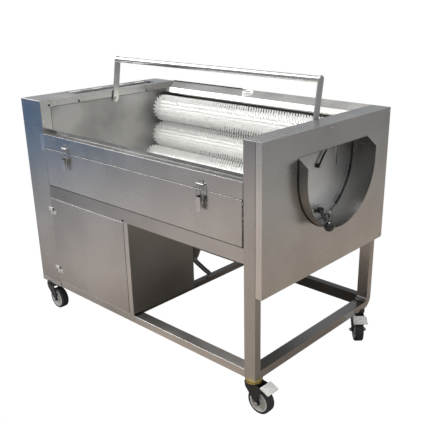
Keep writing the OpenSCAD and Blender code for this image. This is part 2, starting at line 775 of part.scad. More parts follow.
// pivot bolts of the bail with spacers and heads
module bail_bolts() {
  m() color("gray") {
    rod_x_bar(wall_x - 12, left_w + 12 + bail_t - 6, bail_y, bail_z, 5);
    rod_x_bar(wall_x, left_w + 2 - slack, bail_y, bail_z, 8.5);
    rod_x_bar(left_w + 2 + bail_t + slack, left_w + 8 + bail_t, bail_y, bail_z, 8.5);
    rod_x_bar(wall_r - 10 - bail_t, wall_r + wall_t + 8, bail_y, bail_z, 5);
    rod_x_bar(wall_r - 4 + slack, wall_r, bail_y, bail_z, 8.5);
    rod_x_bar(wall_r - 10 - bail_t, wall_r - 4 - bail_t - slack, bail_y, bail_z, 8.5);
  }
}

// toggle latches: base with ears on the panel, keeper with ledge on the beam
module latch_plates() {
  m() color("silver") for (x = [latch_l, latch_r]) {
    box([x - 13, -2, latch_z - 38], [x + 13, 0, latch_z + 8]);
    for (s = [-13, 11])
      box([x + s, -14, latch_z - 8], [x + s + 2, 0, latch_z + 8]);
    rod_x_bar(x - 13, x + 13, -10, latch_z, 2);
    box([x - 12, -2, latch_z + 36], [x + 12, 0, latch_z + 66]);
    box([x - 10, -10, latch_z + 44], [x + 10, 0, latch_z + 48]);
  }
}
module toggle_lever(x) {
  m() color("silver") difference() {
    union() {
      box([x - 10, -latch_out, latch_z - 48], [x + 10, -16, latch_z + 5]);
      for (s = [-10, 8])
        box([x + s, -16, latch_z - 22], [x + s + 2, -6, latch_z + 5]);
    }
    rod_x_bar(x - 14, x + 14, -10, latch_z, 2 + fit);
    rod_x_bar(x - 14, x + 14, -12.5, latch_z - 15, 2 + fit);
  }
}
module toggle_lever_left() { toggle_lever(latch_l); }
module toggle_lever_right() { toggle_lever(latch_r); }
module toggle_hoop(x) {
  z0 = latch_z - 15;
  z1 = latch_z + 50.4;
  m() color("gainsboro") {
    rod_x_bar(x - 18, x + 18, -12.5, z0, 2);
    rod_x_bar(x - 18, x + 18, -6.5, z1, 2);
    for (s = [-16, 16]) bar([x + s, -12.5, z0], [x + s, -6.5, z1], 1.7);
  }
}
module toggle_hoop_left() { toggle_hoop(latch_l); }
module toggle_hoop_right() { toggle_hoop(latch_r); }

// swivel rings and king pins of the casters
module caster_tops() {
  m() color("darkkhaki") for (c = [cast_fr, cast_fl, cast_rr, cast_rl])
    translate([c[0], c[1], 0]) rotate_extrude()
      polygon([[0, frame_z], [ring_r, frame_z], [ring_r, frame_z - 4], [ring_r - 4, frame_z - 4],
        [ring_r - 4, frame_z - 8], [ring_r, frame_z - 8], [ring_r, frame_z - 12],
        [ring_r - 8, frame_z - 13], [6, frame_z - 13], [6, crown_z - 10], [10, crown_z - 10],
        [10, crown_z - 16], [0, crown_z - 16]]);
}
// one caster in its own frame: trail along U, axle along V
module at_caster(c) {
  m() translate([c[0], c[1], 0]) rotate([0, 0, c[2]]) children();
}
module leg_plate(v0, v1, ear) {
  translate([0, v1, 0]) rotate([90, 0, 0]) linear_extrude(v1 - v0) {
    polygon([[-26, crown_z], [26, crown_z], [trail + 11, wheel_r + 5], [trail + 10, wheel_r - 6],
      [trail, wheel_r - 10], [trail - 10, wheel_r - 6], [-22, crown_z - 22]]);
    translate([trail, wheel_r]) circle(12);
    if (ear) {
      translate([pedal_u, pedal_z]) circle(5.3);
      polygon([[20, crown_z], [pedal_u - 1, pedal_z + 5], [pedal_u, pedal_z - 5], [trail + 6, wheel_r + 26]]);
    }
  }
}
module caster_fork(c, ear) {
  g = wheel_w / 2 + 3;
  at_caster(c) color("black") {
    difference() {
      translate([0, 0, crown_z - 9]) cylinder(r = ring_r - 3, h = 9);
      translate([0, 0, crown_z - 10]) cylinder(r = 6 + fit, h = 12);
    }
    leg_plate(-g - 4, -g, ear);
    leg_plate(g, g + 4, ear);
    translate([trail, g + 9, wheel_r]) rotate([90, 0, 0]) cylinder(r = 5, h = 2 * g + 18);
    for (v = [-g - 9, g + 4])
      translate([trail, v + 5, wheel_r]) rotate([90, 0, 0]) cylinder(r = 8.5, h = 5, $fn = 6);
    if (ear)
      translate([pedal_u, g + 1, pedal_z]) rotate([90, 0, 0]) cylinder(r = 4, h = 2 * g + 2);
  }
}
module caster_fork_fr() { caster_fork(cast_fr, true); }
module caster_fork_fl() { caster_fork(cast_fl, false); }
module caster_fork_rr() { caster_fork(cast_rr, true); }
module caster_fork_rl() { caster_fork(cast_rl, false); }
// wheel with rounded tread edges, hub and recessed web
module caster_wheel(c) {
  w = wheel_w / 2;
  at_caster(c) color("dimgray") translate([trail, 0, wheel_r]) rotate([90, 0, 0]) rotate_extrude()
    polygon([[5 + fit, -w - 2], [13, -w - 2], [15, -w + 5], [30, -w + 5], [33, -w], [wheel_r - 3, -w],
      [wheel_r, -w + 4], [wheel_r, w - 4], [wheel_r - 3, w], [33, w], [30, w - 5], [15, w - 5],
      [13, w + 2], [5 + fit, w + 2]]);
}
module caster_wheel_fr() { caster_wheel(cast_fr); }
module caster_wheel_fl() { caster_wheel(cast_fl); }
module caster_wheel_rr() { caster_wheel(cast_rr); }
module caster_wheel_rl() { caster_wheel(cast_rl); }
// ribbed brake pedal on its pin
module brake_pedal(c) {
  g = wheel_w / 2 + 2;
  at_caster(c) color("lightgray") translate([pedal_u, 0, pedal_z]) rotate([0, 24, 0]) difference() {
    union() {
      box([-6, -30, 7], [36, 30, 12]);
      for (i = [0:3]) box([-1 + i * 9, -27, 11], [3 + i * 9, 27, 14]);
      translate([0, g, 0]) rotate([90, 0, 0]) cylinder(r = 7.5, h = 2 * g);
    }
    translate([0, g + 9, 0]) rotate([90, 0, 0]) cylinder(r = 4 + fit, h = 2 * g + 18);
  }
}
module brake_pedal_fr() { brake_pedal(cast_fr); }
module brake_pedal_rr() { brake_pedal(cast_rr); }

right_end_frame();
left_end_frame();
bottom_rails();
top_beam();
lower_beam();
left_end_shell();
left_inner_wall();
hatch_hinge();
drive_hatch();
right_end_cover();
right_inner_wall();
discharge_chute();
discharge_door();
door_hinge_rod();
latch_lever();
ball_knob();
rear_panel();
front_deflector();
front_panel();
water_tray();
drain_hose();
spray_pipe();
motor_box();
motor_door();
gear_motor();
drive_sprocket();
drive_chains();
roller_bearings();
brush_1();
brush_2();
brush_3();
brush_4();
brush_5();
brush_6();
brush_7();
shaft_1();
shaft_2();
shaft_3();
shaft_4();
shaft_5();
shaft_6();
shaft_7();
bail_handle();
bail_bolts();
latch_plates();
toggle_lever_left();
toggle_lever_right();
toggle_hoop_left();
toggle_hoop_right();
caster_tops();
caster_fork_fr();
caster_fork_fl();
caster_fork_rr();
caster_fork_rl();
caster_wheel_fr();
caster_wheel_fl();
caster_wheel_rr();
caster_wheel_rl();
brake_pedal_fr();
brake_pedal_rr();
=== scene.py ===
import math

import bpy
import numpy as np
from mathutils import Matrix


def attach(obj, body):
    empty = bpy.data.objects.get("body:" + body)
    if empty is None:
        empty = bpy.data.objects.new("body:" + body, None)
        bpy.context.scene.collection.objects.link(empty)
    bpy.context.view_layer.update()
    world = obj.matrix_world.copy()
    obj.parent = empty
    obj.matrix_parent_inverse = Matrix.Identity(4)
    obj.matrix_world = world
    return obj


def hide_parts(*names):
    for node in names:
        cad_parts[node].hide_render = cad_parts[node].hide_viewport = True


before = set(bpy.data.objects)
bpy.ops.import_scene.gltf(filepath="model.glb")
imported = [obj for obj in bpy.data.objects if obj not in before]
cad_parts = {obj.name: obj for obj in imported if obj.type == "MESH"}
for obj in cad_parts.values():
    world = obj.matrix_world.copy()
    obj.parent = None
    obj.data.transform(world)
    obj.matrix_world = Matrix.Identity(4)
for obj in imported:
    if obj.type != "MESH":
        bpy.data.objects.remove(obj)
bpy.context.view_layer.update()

scene = bpy.context.scene
rowOrigin = np.array([741.25, 391.0, 0.0])  # middle of the machine on the floor, mm from its front left corner
bedMiddle = (414.0, 862.0)  # y and z of the line that the rollers, the chute and its door lie round, mm
sharpAngle = math.radians(35)  # edges that turn by more than this stay crisp
noiseSpan = (0.3, 0.7)  # where most values of a noise lie
noTris = np.zeros((0, 3), int)
rollers = range(1, 8)  # counted from the rear
casters = ("fr", "fl", "rr", "rl")  # front and rear, right and left
print("frame loaded,", len(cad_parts), "nodes")


# millimetres from the front left floor corner, less the row's origin, in metres
def toRow(points):
    return (np.asarray(points, float) - rowOrigin) / 1000.0


# sRGB to linear light: c / 12.92 near black, otherwise ((c + 0.055) / 1.055) to the power 2.4
def linear(hexCode):
    c = np.array([int(hexCode[i:i + 2], 16) for i in (1, 3, 5)]) / 255.0
    low = c / 12.92
    high = ((c + 0.055) / 1.055) ** 2.4
    return (*np.where(c <= 0.04045, low, high).tolist(), 1.0)


# each array in faceArrays has one face a row; quads and triangles go in as separate arrays
def putMesh(name, verts, faceArrays, body, material, smooth=True):
    mesh = bpy.data.meshes.new(name)
    verts = np.asarray(verts, float).reshape(-1, 3)
    mesh.vertices.add(len(verts))
    mesh.vertices.foreach_set("co", verts.astype(np.float32).ravel())
    counts = np.concatenate([np.full(len(f), f.shape[1]) for f in faceArrays])
    loops = np.concatenate([f.ravel() for f in faceArrays])
    mesh.loops.add(len(loops))
    mesh.loops.foreach_set("vertex_index", loops.astype(np.int32))
    mesh.polygons.add(len(counts))
    mesh.polygons.foreach_set("loop_start", (np.cumsum(counts) - counts).astype(np.int32))
    mesh.polygons.foreach_set("use_smooth", np.full(len(counts), smooth))
    mesh.update(calc_edges=True)
    mesh.validate()
    mesh.materials.append(material)
    obj = bpy.data.objects.new(name, mesh)
    scene.collection.objects.link(obj)
    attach(obj, body)
    return obj


# quads between neighbouring rings of a grid, each ring closed on itself
def ringQuads(rings, sides):
    i, j = np.meshgrid(np.arange(rings - 1), np.arange(sides), indexing="ij")
    k = (j + 1) % sides
    quads = np.stack([i * sides + j, i * sides + k, (i + 1) * sides + k, (i + 1) * sides + j], -1)
    return quads.reshape(-1, 4)


# triangles from the first and the last ring of a grid to the two single points that follow the rings
def endCaps(rings, sides):
    j = np.arange(sides)
    k, last = (j + 1) % sides, (rings - 1) * sides
    return np.concatenate([np.stack([np.full(sides, rings * sides), k, j], -1),
                           np.stack([np.full(sides, rings * sides + 1), last + j, last + k], -1)])


# a profile of (radius, height) pairs that starts and ends on the axis, turned round it: rings between
# two single points
def turnedShape(profile, place, way, sides):
    place, up = np.asarray(place, float), np.asarray(way, float)
    up = up / np.linalg.norm(up)
    one = np.cross(up, (0, 0, 1.0) if abs(up[2]) < 0.9 else (0, 1.0, 0))  # any direction off the axis does
    one /= np.linalg.norm(one)
    two = np.cross(up, one)
    angle = np.linspace(0, 2 * np.pi, sides, endpoint=False)
    circle = np.cos(angle)[:, None] * one + np.sin(angle)[:, None] * two
    p = np.asarray(profile, float)
    rings = place + p[1:-1, 1][:, None, None] * up + p[1:-1, 0][:, None, None] * circle
    verts = np.concatenate([rings.reshape(-1, 3), place + p[[0, -1], 1][:, None] * up])
    return verts, ringQuads(len(rings), sides), endCaps(len(rings), sides)


# a closed profile of (radius, height) pairs turned round an axis that it doesn't touch
def turnedRing(profile, place, way, sides):
    verts, quads, _ = turnedShape([(0, 0), *profile, profile[0], (0, 0)], place, way, sides)
    quads = np.where(quads >= len(profile) * sides, quads - len(profile) * sides, quads)
    return verts[:len(profile) * sides], quads


# a box between two corners: the corners of a unit cube times the difference, added to the first
def boxShape(a, b):
    a, b = np.asarray(a, float), np.asarray(b, float)
    corner = np.array([(0, 0, 0), (1, 0, 0), (1, 1, 0), (0, 1, 0), (0, 0, 1), (1, 0, 1), (1, 1, 1), (0, 1, 1)])
    quads = np.array([(3, 2, 1, 0), (4, 5, 6, 7), (0, 1, 5, 4), (1, 2, 6, 5), (2, 3, 7, 6), (3, 0, 4, 7)])
    return a + corner * (b - a), quads, noTris


# circles carried along a path: the path's slope crossed with X gives each circle's plane
def carryCircles(path, radius, sides):
    slope = np.gradient(path, axis=0)
    slope /= np.linalg.norm(slope, axis=1)[:, None]
    one = np.cross(slope, (1.0, 0, 0))
    one /= np.linalg.norm(one, axis=1)[:, None]
    two = np.cross(slope, one)
    angle = np.linspace(0, 2 * np.pi, sides, endpoint=False)
    circle = np.cos(angle)[None, :, None] * one[:, None] + np.sin(angle)[None, :, None] * two[:, None]
    return path[:, None] + radius * circle


# a round rod along a path in a plane of one X, capped at both ends
def rodShape(path, radius, sides):
    path = np.asarray(path, float)
    rings = carryCircles(path, radius, sides)
    verts = np.concatenate([rings.reshape(-1, 3), path[[0, -1]]])
    return verts, ringQuads(len(path), sides), endCaps(len(path), sides)


# several shapes put together as one piece, each shape's faces counted on from the points before it
def putShapes(name, shapes, body, material, smooth=True):
    first = np.cumsum([0] + [len(v) for v, _, _ in shapes])
    verts = np.concatenate([v for v, _, _ in shapes])
    faces = [np.concatenate([q + n for (_, q, _), n in zip(shapes, first)]),
             np.concatenate([t + n for (_, _, t), n in zip(shapes, first)])]
    piece = putMesh(name, toRow(verts), [f for f in faces if len(f)], body, material, smooth)
    if smooth:
        piece.data.set_sharp_from_angle(angle=sharpAngle)


# links a camera or a lamp; its right, up and back directions and its place are the columns of its matrix
def putInRoom(obj, right, up, back, place):
    scene.collection.objects.link(obj)
    matrix = np.eye(4)
    matrix[:3] = np.stack([right, up, back, place], 1)
    obj.matrix_world = Matrix(matrix.tolist())


# Camera
cameraSet = {
    "place": (2658.15, -1532.4, 1487.9),  # mm from the front left floor corner
    "yaw": 42.496, "pitch": 20.949, "roll": -0.801,  # degrees
    "lens": 55.301, "sensor": 36.0, "shift": (-0.0444, 0.0508), "clip": (0.05, 100.0),
}


# looking along yaw and pitch, with right and up turned by the roll
def makeCamera(s):
    yaw, pitch, roll = (math.radians(s[k]) for k in ("yaw", "pitch", "roll"))
    ahead = np.array([-math.sin(yaw) * math.cos(pitch), math.cos(yaw) * math.cos(pitch), -math.sin(pitch)])
    level = np.array([math.cos(yaw), math.sin(yaw), 0.0])
    upright = np.cross(level, ahead)
    right = math.cos(roll) * level + math.sin(roll) * upright
    up = math.cos(roll) * upright - math.sin(roll) * level
    data = bpy.data.cameras.new("camera")
    data.lens, data.sensor_width = s["lens"], s["sensor"]
    data.shift_x, data.shift_y = s["shift"]
    data.clip_start, data.clip_end = s["clip"]
    camera = bpy.data.objects.new("camera", data)
    putInRoom(camera, right, up, -ahead, toRow(s["place"]))
    scene.camera = camera


makeCamera(cameraSet)
print("camera placed")


# adds a node, sets its plain inputs and properties, and links the inputs that are given as sockets;
# stops are the places and linear colours of a colour ramp
def addNode(tree, kind, inputs=None, stops=(), **settings):
    node = tree.nodes.new("ShaderNode" + kind)
    for key, value in settings.items():
        setattr(node, key, value)
    for key, value in (inputs or {}).items():
        if isinstance(value, bpy.types.NodeSocket):
            tree.links.new(value, node.inputs[key])
        else:
            node.inputs[key].default_value = value
    for place, _ in stops[1:-1]:
        node.color_ramp.elements.new(place)
    for i, (place, colour) in enumerate(stops):
        node.color_ramp.elements[i].position = place
        node.color_ramp.elements[i].color = (*colour[:3], 1.0)
    return node


# a new material with an empty node tree
def startMaterial(name):
    material = bpy.data.materials.new(name)
    material.use_nodes = True
    material.node_tree.nodes.clear()
    return material, material.node_tree


stainlessSet = {
    "tone": "#c3c2c0", "shade": "#bbbab8", "roughLow": 0.22, "roughHigh": 0.33,
    "grainLong": 300.0, "grainWide": 9.0,  # mm; real scratch lines are far finer than a pixel, so drawn wider to show
    "filmSize": 210.0, "filmShare": 0.85, "patchSpan": (0.35, 0.65),  # mm, its share beside the lines, its noise's span
    "endFacing": 0.7,  # a face looks along X from this share of its normal on
}


# Brushed stainless sheet: fine straight scratch lines in its tone and sheen, and a wiped film that makes the
# mirrored room duller in patches. The lines run along grain, or endGrain on faces that look along X.
# The tone is scaled by the squared normal weighed by tones, painted light and shade that set how light or dark
# the sides of a sheet look under the lamps, by fade, which gives an axis, two places on it in metres and the scale
# at each, and by the film's patches, up or down by mottle.
def brushedStainless(name, grain, endGrain, tones=(1.0, 1.0, 1.0), roughScale=1.0,
                     fade=("Z", 0.0, 1.0, 1.0, 1.0), mottle=0.04, s=stainlessSet):
    material, tree = startMaterial(name)
    coords = addNode(tree, "TexCoord").outputs["Object"]
    across, along = 1000.0 / s["grainWide"], 1000.0 / s["grainLong"]
    lines = []
    for way in (grain, endGrain):
        scale = tuple(along if axis == way else across for axis in "XYZ")
        turned = addNode(tree, "Mapping", {"Vector": coords, "Scale": scale})
        lines.append(addNode(tree, "TexNoise", {"Vector": turned.outputs[0], "Scale": 1.0, "Detail": 3.0}))
    normal = addNode(tree, "NewGeometry").outputs["Normal"]
    facing = addNode(tree, "SeparateXYZ", {"Vector": normal})
    sideways = addNode(tree, "Math", {0: facing.outputs["X"]}, operation="ABSOLUTE")
    onEnd = addNode(tree, "Math", {0: sideways.outputs[0], 1: s["endFacing"]}, operation="GREATER_THAN")
    scratch = addNode(tree, "Mix", {"Factor": onEnd.outputs[0], "A": lines[0].outputs[0], "B": lines[1].outputs[0]})
    film = addNode(tree, "TexNoise", {"Vector": coords, "Scale": 1000.0 / s["filmSize"], "Detail": 2.0})
    wiped = addNode(tree, "Mix", {"Factor": s["filmShare"], "A": scratch.outputs[0], "B": film.outputs[0]})
    rough = addNode(tree, "MapRange", {
        "Value": wiped.outputs[0], "From Min": noiseSpan[0], "From Max": noiseSpan[1],
        "To Min": s["roughLow"] * roughScale, "To Max": s["roughHigh"] * roughScale})
    tint = addNode(tree, "ValToRGB", {"Fac": wiped.outputs[0]},
                   stops=[(noiseSpan[0], linear(s["shade"])), (noiseSpan[1], linear(s["tone"]))])
    squared = addNode(tree, "VectorMath", {0: normal, 1: normal}, operation="MULTIPLY")
    weighed = addNode(tree, "VectorMath", {0: squared.outputs[0], 1: tones}, operation="DOT_PRODUCT")
    place = addNode(tree, "SeparateXYZ", {"Vector": coords}).outputs[fade[0]]
    soiled = addNode(tree, "MapRange", {
        "Value": place, "From Min": fade[1], "From Max": fade[2], "To Min": fade[3], "To Max": fade[4]})
    patches = addNode(tree, "MapRange", {
        "Value": film.outputs[0], "From Min": s["patchSpan"][0], "From Max": s["patchSpan"][1],
        "To Min": 1.0 - mottle, "To Max": 1.0 + mottle})
    stained = addNode(tree, "Math", {0: soiled.outputs[0], 1: patches.outputs[0]}, operation="MULTIPLY")
    scaled = addNode(tree, "Math", {0: weighed.outputs["Value"], 1: stained.outputs[0]}, operation="MULTIPLY")
    ground = addNode(tree, "VectorMath", {0: tint.outputs[0], "Scale": scaled.outputs[0]}, operation="SCALE")
    metal = addNode(tree, "BsdfPrincipled", {
        "Base Color": ground.outputs[0], "Metallic": 1.0, "Roughness": rough.outputs[0]})
    addNode(tree, "OutputMaterial", {"Surface": metal.outputs[0]})
    return material


# A finish with a fine grain: noise of a size in mm moves the colour, the roughness and the height a little
def grainedFinish(name, colour, spread, size, rough, roughSpread, metallic=0.0, height=0.0, coat=0.0, glow=0.0):
    material, tree = startMaterial(name)
    coords = addNode(tree, "TexCoord").outputs["Object"]
    grain = addNode(tree, "TexNoise", {"Vector": coords, "Scale": 1000.0 / size, "Detail": 4.0})
    base = np.array(linear(colour))[:3]
    darker, lighter = (np.clip(base * (1 + side * spread), 0, 1) for side in (-1, 1))
    tint = addNode(tree, "ValToRGB", {"Fac": grain.outputs[0]},
                   stops=[(noiseSpan[0], darker), (noiseSpan[1], lighter)])
    roughness = addNode(tree, "MapRange", {
        "Value": grain.outputs[0], "From Min": noiseSpan[0], "From Max": noiseSpan[1],
        "To Min": rough - roughSpread, "To Max": rough + roughSpread})
    bump = addNode(tree, "Bump", {"Strength": 0.3, "Distance": height / 1000.0, "Height": grain.outputs[0]})
    finish = addNode(tree, "BsdfPrincipled", {
        "Base Color": tint.outputs[0], "Metallic": metallic, "Roughness": roughness.outputs[0],
        "Coat Weight": coat, "Normal": bump.outputs[0],
        "Emission Color": linear(colour), "Emission Strength": glow})
    addNode(tree, "OutputMaterial", {"Surface": finish.outputs[0]})
    return material


# the upper beam, the front panel, the tray and the hatch: long grain that mirrors the room in soft streaks
stainlessLong = brushedStainless("brushed stainless, long grain", "X", "Y")
# the tube of the legs: painted shade makes its sides and ends darker than its front
stainlessTube = brushedStainless("drawn stainless tube", "Z", "Z", (0.75, 0.95, 0.4))
# the drive box: painted shade makes its end darker than its front and top; it is also darker towards the floor and
# brighter towards the top
stainlessShell = brushedStainless("folded stainless, upright grain", "Z", "Z", (0.75, 0.87, 0.84),
                                  fade=("Z", 0.135, 1.025, 0.68, 1.3))
# the motor door: the same sheet, darker on its left
stainlessPanel = brushedStainless("folded stainless, motor door", "Z", "Z", (0.75, 0.85, 1.0),
                                  fade=("X", -0.59, -0.2, 0.82, 1.0))
# the end cover: painted light brightens its front return, and painted shade darkens its top
stainlessCover = brushedStainless("folded stainless, cross grain", "Y", "Y", (1.0, 1.35, 0.8))
# the inner walls: a dull, patchy pickled finish that blurs what they mirror
stainlessDull = brushedStainless("pickled stainless", "Y", "Y", (0.71, 0.9, 0.9), 1.5, mottle=0.22)
# the front rail: mill finish, its front and top made pale by painted light, darker on the left, under the motor door
stainlessMill = brushedStainless("mill finish stainless", "X", "Y", (0.9, 1.4, 1.7), 1.3,
                                 fade=("X", -0.2, 0.12, 0.58, 0.93))
# the lower beam: a shade darker, brighter towards the right
stainlessBeam = brushedStainless("mill finish stainless, lower beam", "X", "Y", (0.9, 0.76, 0.9), 1.1,
                                 fade=("X", -0.45, 0.55, 0.76, 1.36))
# the cross rail and rear rail: painted shade, dark as they lie in the shade under the machine
stainlessShaded = brushedStainless("stainless rails, painted shade", "X", "Y", (0.4, 0.3, 0.16), 1.2)
# the motor box: painted shade makes its side much darker than its front flange, as it lies in the shade under the tray
stainlessSoiled = brushedStainless("stainless box side, painted shade", "X", "Y", (0.62, 1.0, 0.8), 1.3)
# the inside of the chute: bare, a shade darker than the plate, with painted shade darkening it towards its upper edges
stainlessChute = brushedStainless("rolled stainless", "Y", "Y", (1.0, 0.54, 0.53),
                                  fade=("Z", 0.66, 0.93, 1.0, 0.5))
# the chute's outside: as dark as the inside, with a dull patchy film
stainlessRolled = brushedStainless("rolled stainless, outside", "Y", "Y", (1.0, 0.52, 0.5), 1.2, mottle=0.25)
# the front deflector and the upstand behind the upper beam: dull, and darkened with painted shade, as they lie half in
# the shade of the wet inside
stainlessStrip = brushedStainless("stainless strip, painted shade", "X", "Y", (0.8, 0.56, 0.56))
# the hanging door: painted light makes it bright below, and painted shade darkens it towards its hinge
stainlessDoor = brushedStainless("stainless door leaf, painted light and shade", "Y", "Y", (1.8, 0.5, 0.5), 1.6,
                                 fade=("Z", 0.7, 0.92, 1.15, 0.62))
# the rear sheet behind the rollers: painted shade, dark as it stands in the dark slot behind them
stainlessWet = brushedStainless("stainless rear sheet, painted shade", "X", "Y", (0.3, 0.16, 0.3), 1.3)
# the sloping deflector: a shade duller than the front
stainlessSlope = brushedStainless("sloped stainless", "X", "Y", (0.9, 0.8, 0.95))
# polished tube and rod: smoother than the sheet, with the same faint lines
stainlessRod = brushedStainless("polished stainless rod", "X", "Y", (1.15, 1.15, 1.15), 0.7)
# drawn steel under a film of oil: dark, with a soft sheen
oiledSteel = grainedFinish("oiled drawn steel", "#55565a", 0.2, 6.0, 0.38, 0.08, metallic=1.0, height=0.05)
# powder coat on pressed steel: black with a fine orange peel
powderCoat = grainedFinish("black powder coat", "#222226", 0.25, 1.6, 0.42, 0.06, height=0.12)
# yellow zinc plating: brassy, with cloudy patches
yellowZinc = grainedFinish("yellow zinc plate", "#d6c487", 0.22, 9.0, 0.3, 0.08, metallic=1.0, height=0.02)
# bright zinc plating: pale grey, softly mirrored
brightZinc = grainedFinish("bright zinc plate", "#c6c6c3", 0.12, 5.0, 0.27, 0.06, metallic=1.0, height=0.02)
# zinc plating rubbed by turning: light grey and dull
dullZinc = grainedFinish("zinc plate rubbed dull", "#b4b4b1", 0.06, 5.0, 0.5, 0.06, metallic=0.25, height=0.02)
# tumbled zinc plating: almost white and dull
paleZinc = grainedFinish("tumbled zinc plate", "#ededeb", 0.06, 5.0, 0.5, 0.06, metallic=0.25, height=0.02)
# painted cast housing: blue grey paint over the pores of the casting
paintedCasting = grainedFinish("painted casting", "#5c6a78", 0.15, 2.4, 0.5, 0.08, height=0.3)
# extruded nylon: milky white and dull; strands pass light on to each other, and a faint glow stands for that
nylonBristle = grainedFinish("extruded nylon bristle", "#e9e9e7", 0.02, 14.0, 0.5, 0.05, glow=0.05)
# the drum under the bristles: lit through them from all round, so it has more of the glow
nylonCore = grainedFinish("extruded nylon drum", "#f2f2f0", 0.02, 14.0, 0.5, 0.05, glow=0.3)
# moulded rubber hose: black, a soft sheen and a bloom of dust
hoseRubber = grainedFinish("moulded black rubber", "#141516", 0.3, 8.0, 0.46, 0.08, height=0.1)
# wheel tread: dark grey rubber with fine dust
treadRubber = grainedFinish("moulded tread rubber", "#333338", 0.25, 4.0, 0.55, 0.08, height=0.15)
# moulded nylon: light grey, slightly frosted
greyNylon = grainedFinish("moulded grey nylon", "#bdbdb9", 0.06, 3.0, 0.48, 0.05, height=0.06)
# pedal: pale nylon, frosted
paleNylon = grainedFinish("moulded pale nylon", "#ececea", 0.04, 3.0, 0.42, 0.05, height=0.06)
# a line along the hose on the side that faces the camera: a painted highlight, pale grey and dull
scuffedRubber = grainedFinish("black rubber, painted highlight", "#858585", 0.15, 8.0, 0.55, 0.08, height=0.1)
# turned white nylon: chalky, with a soft sheen
whiteNylon = grainedFinish("turned white nylon", "#f4f4f2", 0.03, 4.0, 0.4, 0.05)
# phenolic ball: deep black under a clear gloss
knobPhenolic = grainedFinish("polished black phenolic", "#0b0b0c", 0.2, 4.0, 0.2, 0.04, height=0.01, coat=0.6)
print("materials made")

nodeFinish = {
    stainlessLong: ["top_beam", "front_panel", "water_tray", "drive_hatch"],
    dullZinc: ["hatch_hinge"],
    stainlessSlope: ["rear_panel"],
    stainlessMill: ["bottom_rails"],
    stainlessBeam: ["lower_beam"],
    stainlessSoiled: ["motor_box"],
    stainlessTube: ["right_end_frame", "left_end_frame"],
    stainlessShell: ["left_end_shell"],
    stainlessPanel: ["motor_door"],
    stainlessCover: ["right_end_cover"],
    stainlessDull: ["left_inner_wall", "right_inner_wall", "latch_plates"],
    stainlessChute: ["discharge_chute"],
    stainlessStrip: ["front_deflector"],
    stainlessDoor: ["discharge_door"],
    stainlessRod: [
        "bail_handle", "bail_bolts", "spray_pipe",
        "toggle_lever_left", "toggle_lever_right", "toggle_hoop_left", "toggle_hoop_right"],
    oiledSteel: [
        "drive_chains", "drive_sprocket", "roller_bearings", "door_hinge_rod", *(f"shaft_{k}" for k in rollers)],
    powderCoat: ["latch_lever", *(f"caster_fork_{c}" for c in casters)],
    yellowZinc: ["caster_tops"],
    paintedCasting: ["gear_motor"],
    nylonBristle: [f"brush_{k}" for k in rollers],
    hoseRubber: ["drain_hose"],
    treadRubber: [f"caster_wheel_{c}" for c in casters],
    paleNylon: ["brake_pedal_fr", "brake_pedal_rr"],
    knobPhenolic: ["ball_knob"],
}
for finish, names in nodeFinish.items():
    for name in names:
        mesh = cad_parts[name].data
        mesh.materials.clear()
        mesh.materials.append(finish)


# middles in mm from the front left floor corner, and normals, of every face of a node
def facesOf(name):
    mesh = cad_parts[name].data
    middles, normals = (np.empty(len(mesh.polygons) * 3, np.float32) for _ in range(2))
    mesh.polygons.foreach_get("center", middles)
    mesh.polygons.foreach_get("normal", normals)
    return middles.reshape(-1, 3) * 1000.0 + rowOrigin, normals.reshape(-1, 3)


# gives the picked faces of a node a second finish
def secondFinish(name, finish, picked):
    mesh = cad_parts[name].data
    mesh.materials.append(finish)
    mesh.polygons.foreach_set("material_index", picked.astype(np.int32))
    print(name, "second finish on", int(picked.sum()), "faces")


# Where second finishes start: mm from the front left floor corner, or shares of a normal
splitSet = {
    "shadeFacing": -0.9,  # the Y of the normal, up to which the rear sheet's faces get painted shade
    "chuteOut": 20.0,  # how far a face of the chute's outside looks away from the middle line
    "inlet": (676, 771), "sleeveFrom": 985.0, "boreIn": -4.0,  # the socket's x and y, its white part, its bore
    "shadedFrom": 60.0,  # rails behind this y are under the machine and get painted shade
    "platedRing": (1200.0, 400.0, 124.0),  # right of, in front of and above these, the caster's ring is yellow
    "leafFront": -0.3,  # hinge leaves stand in front of this y
}
# the inner face of the rear sheet, behind the rollers, gets painted shade: it stands in the dark slot behind them
_, normals = facesOf("rear_panel")
secondFinish("rear_panel", stainlessWet, normals[:, 1] < splitSet["shadeFacing"])
# the outside of the chute: faces that look away from its middle line
middles, normals = facesOf("discharge_chute")
outward = (normals[:, 1:] * (middles[:, 1:] - bedMiddle)).sum(1)
secondFinish("discharge_chute", stainlessRolled, outward > splitSet["chuteOut"])
# the mouth of the inlet socket wears the same white sleeve as the collar round it; its bore stays bare
middles, normals = facesOf("spray_pipe")
outward = (normals[:, :2] * (middles[:, :2] - splitSet["inlet"])).sum(1)
secondFinish("spray_pipe", whiteNylon, (middles[:, 2] > splitSet["sleeveFrom"]) & (outward > splitSet["boreIn"]))
# the rear rail and the cross rail get painted shade, as they lie in the shade under the machine
middles, _ = facesOf("bottom_rails")
secondFinish("bottom_rails", stainlessShaded, middles[:, 1] > splitSet["shadedFrom"])
# only the front right caster shows its yellow plating, the others are black
middles, _ = facesOf("caster_tops")
x, y, z = splitSet["platedRing"]
secondFinish("caster_tops", powderCoat, (middles[:, 0] < x) | (middles[:, 1] > y) | (middles[:, 2] < z))
# hinge leaves of the motor door are plated
for name in ("left_end_shell", "motor_door"):
    middles, _ = facesOf(name)
    secondFinish(name, paleZinc, middles[:, 1] < splitSet["leafFront"])
undressed = set(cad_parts) - {n for names in nodeFinish.values() for n in names}
print("finishes on", sum(map(len, nodeFinish.values())), "nodes, left over:", sorted(undressed))

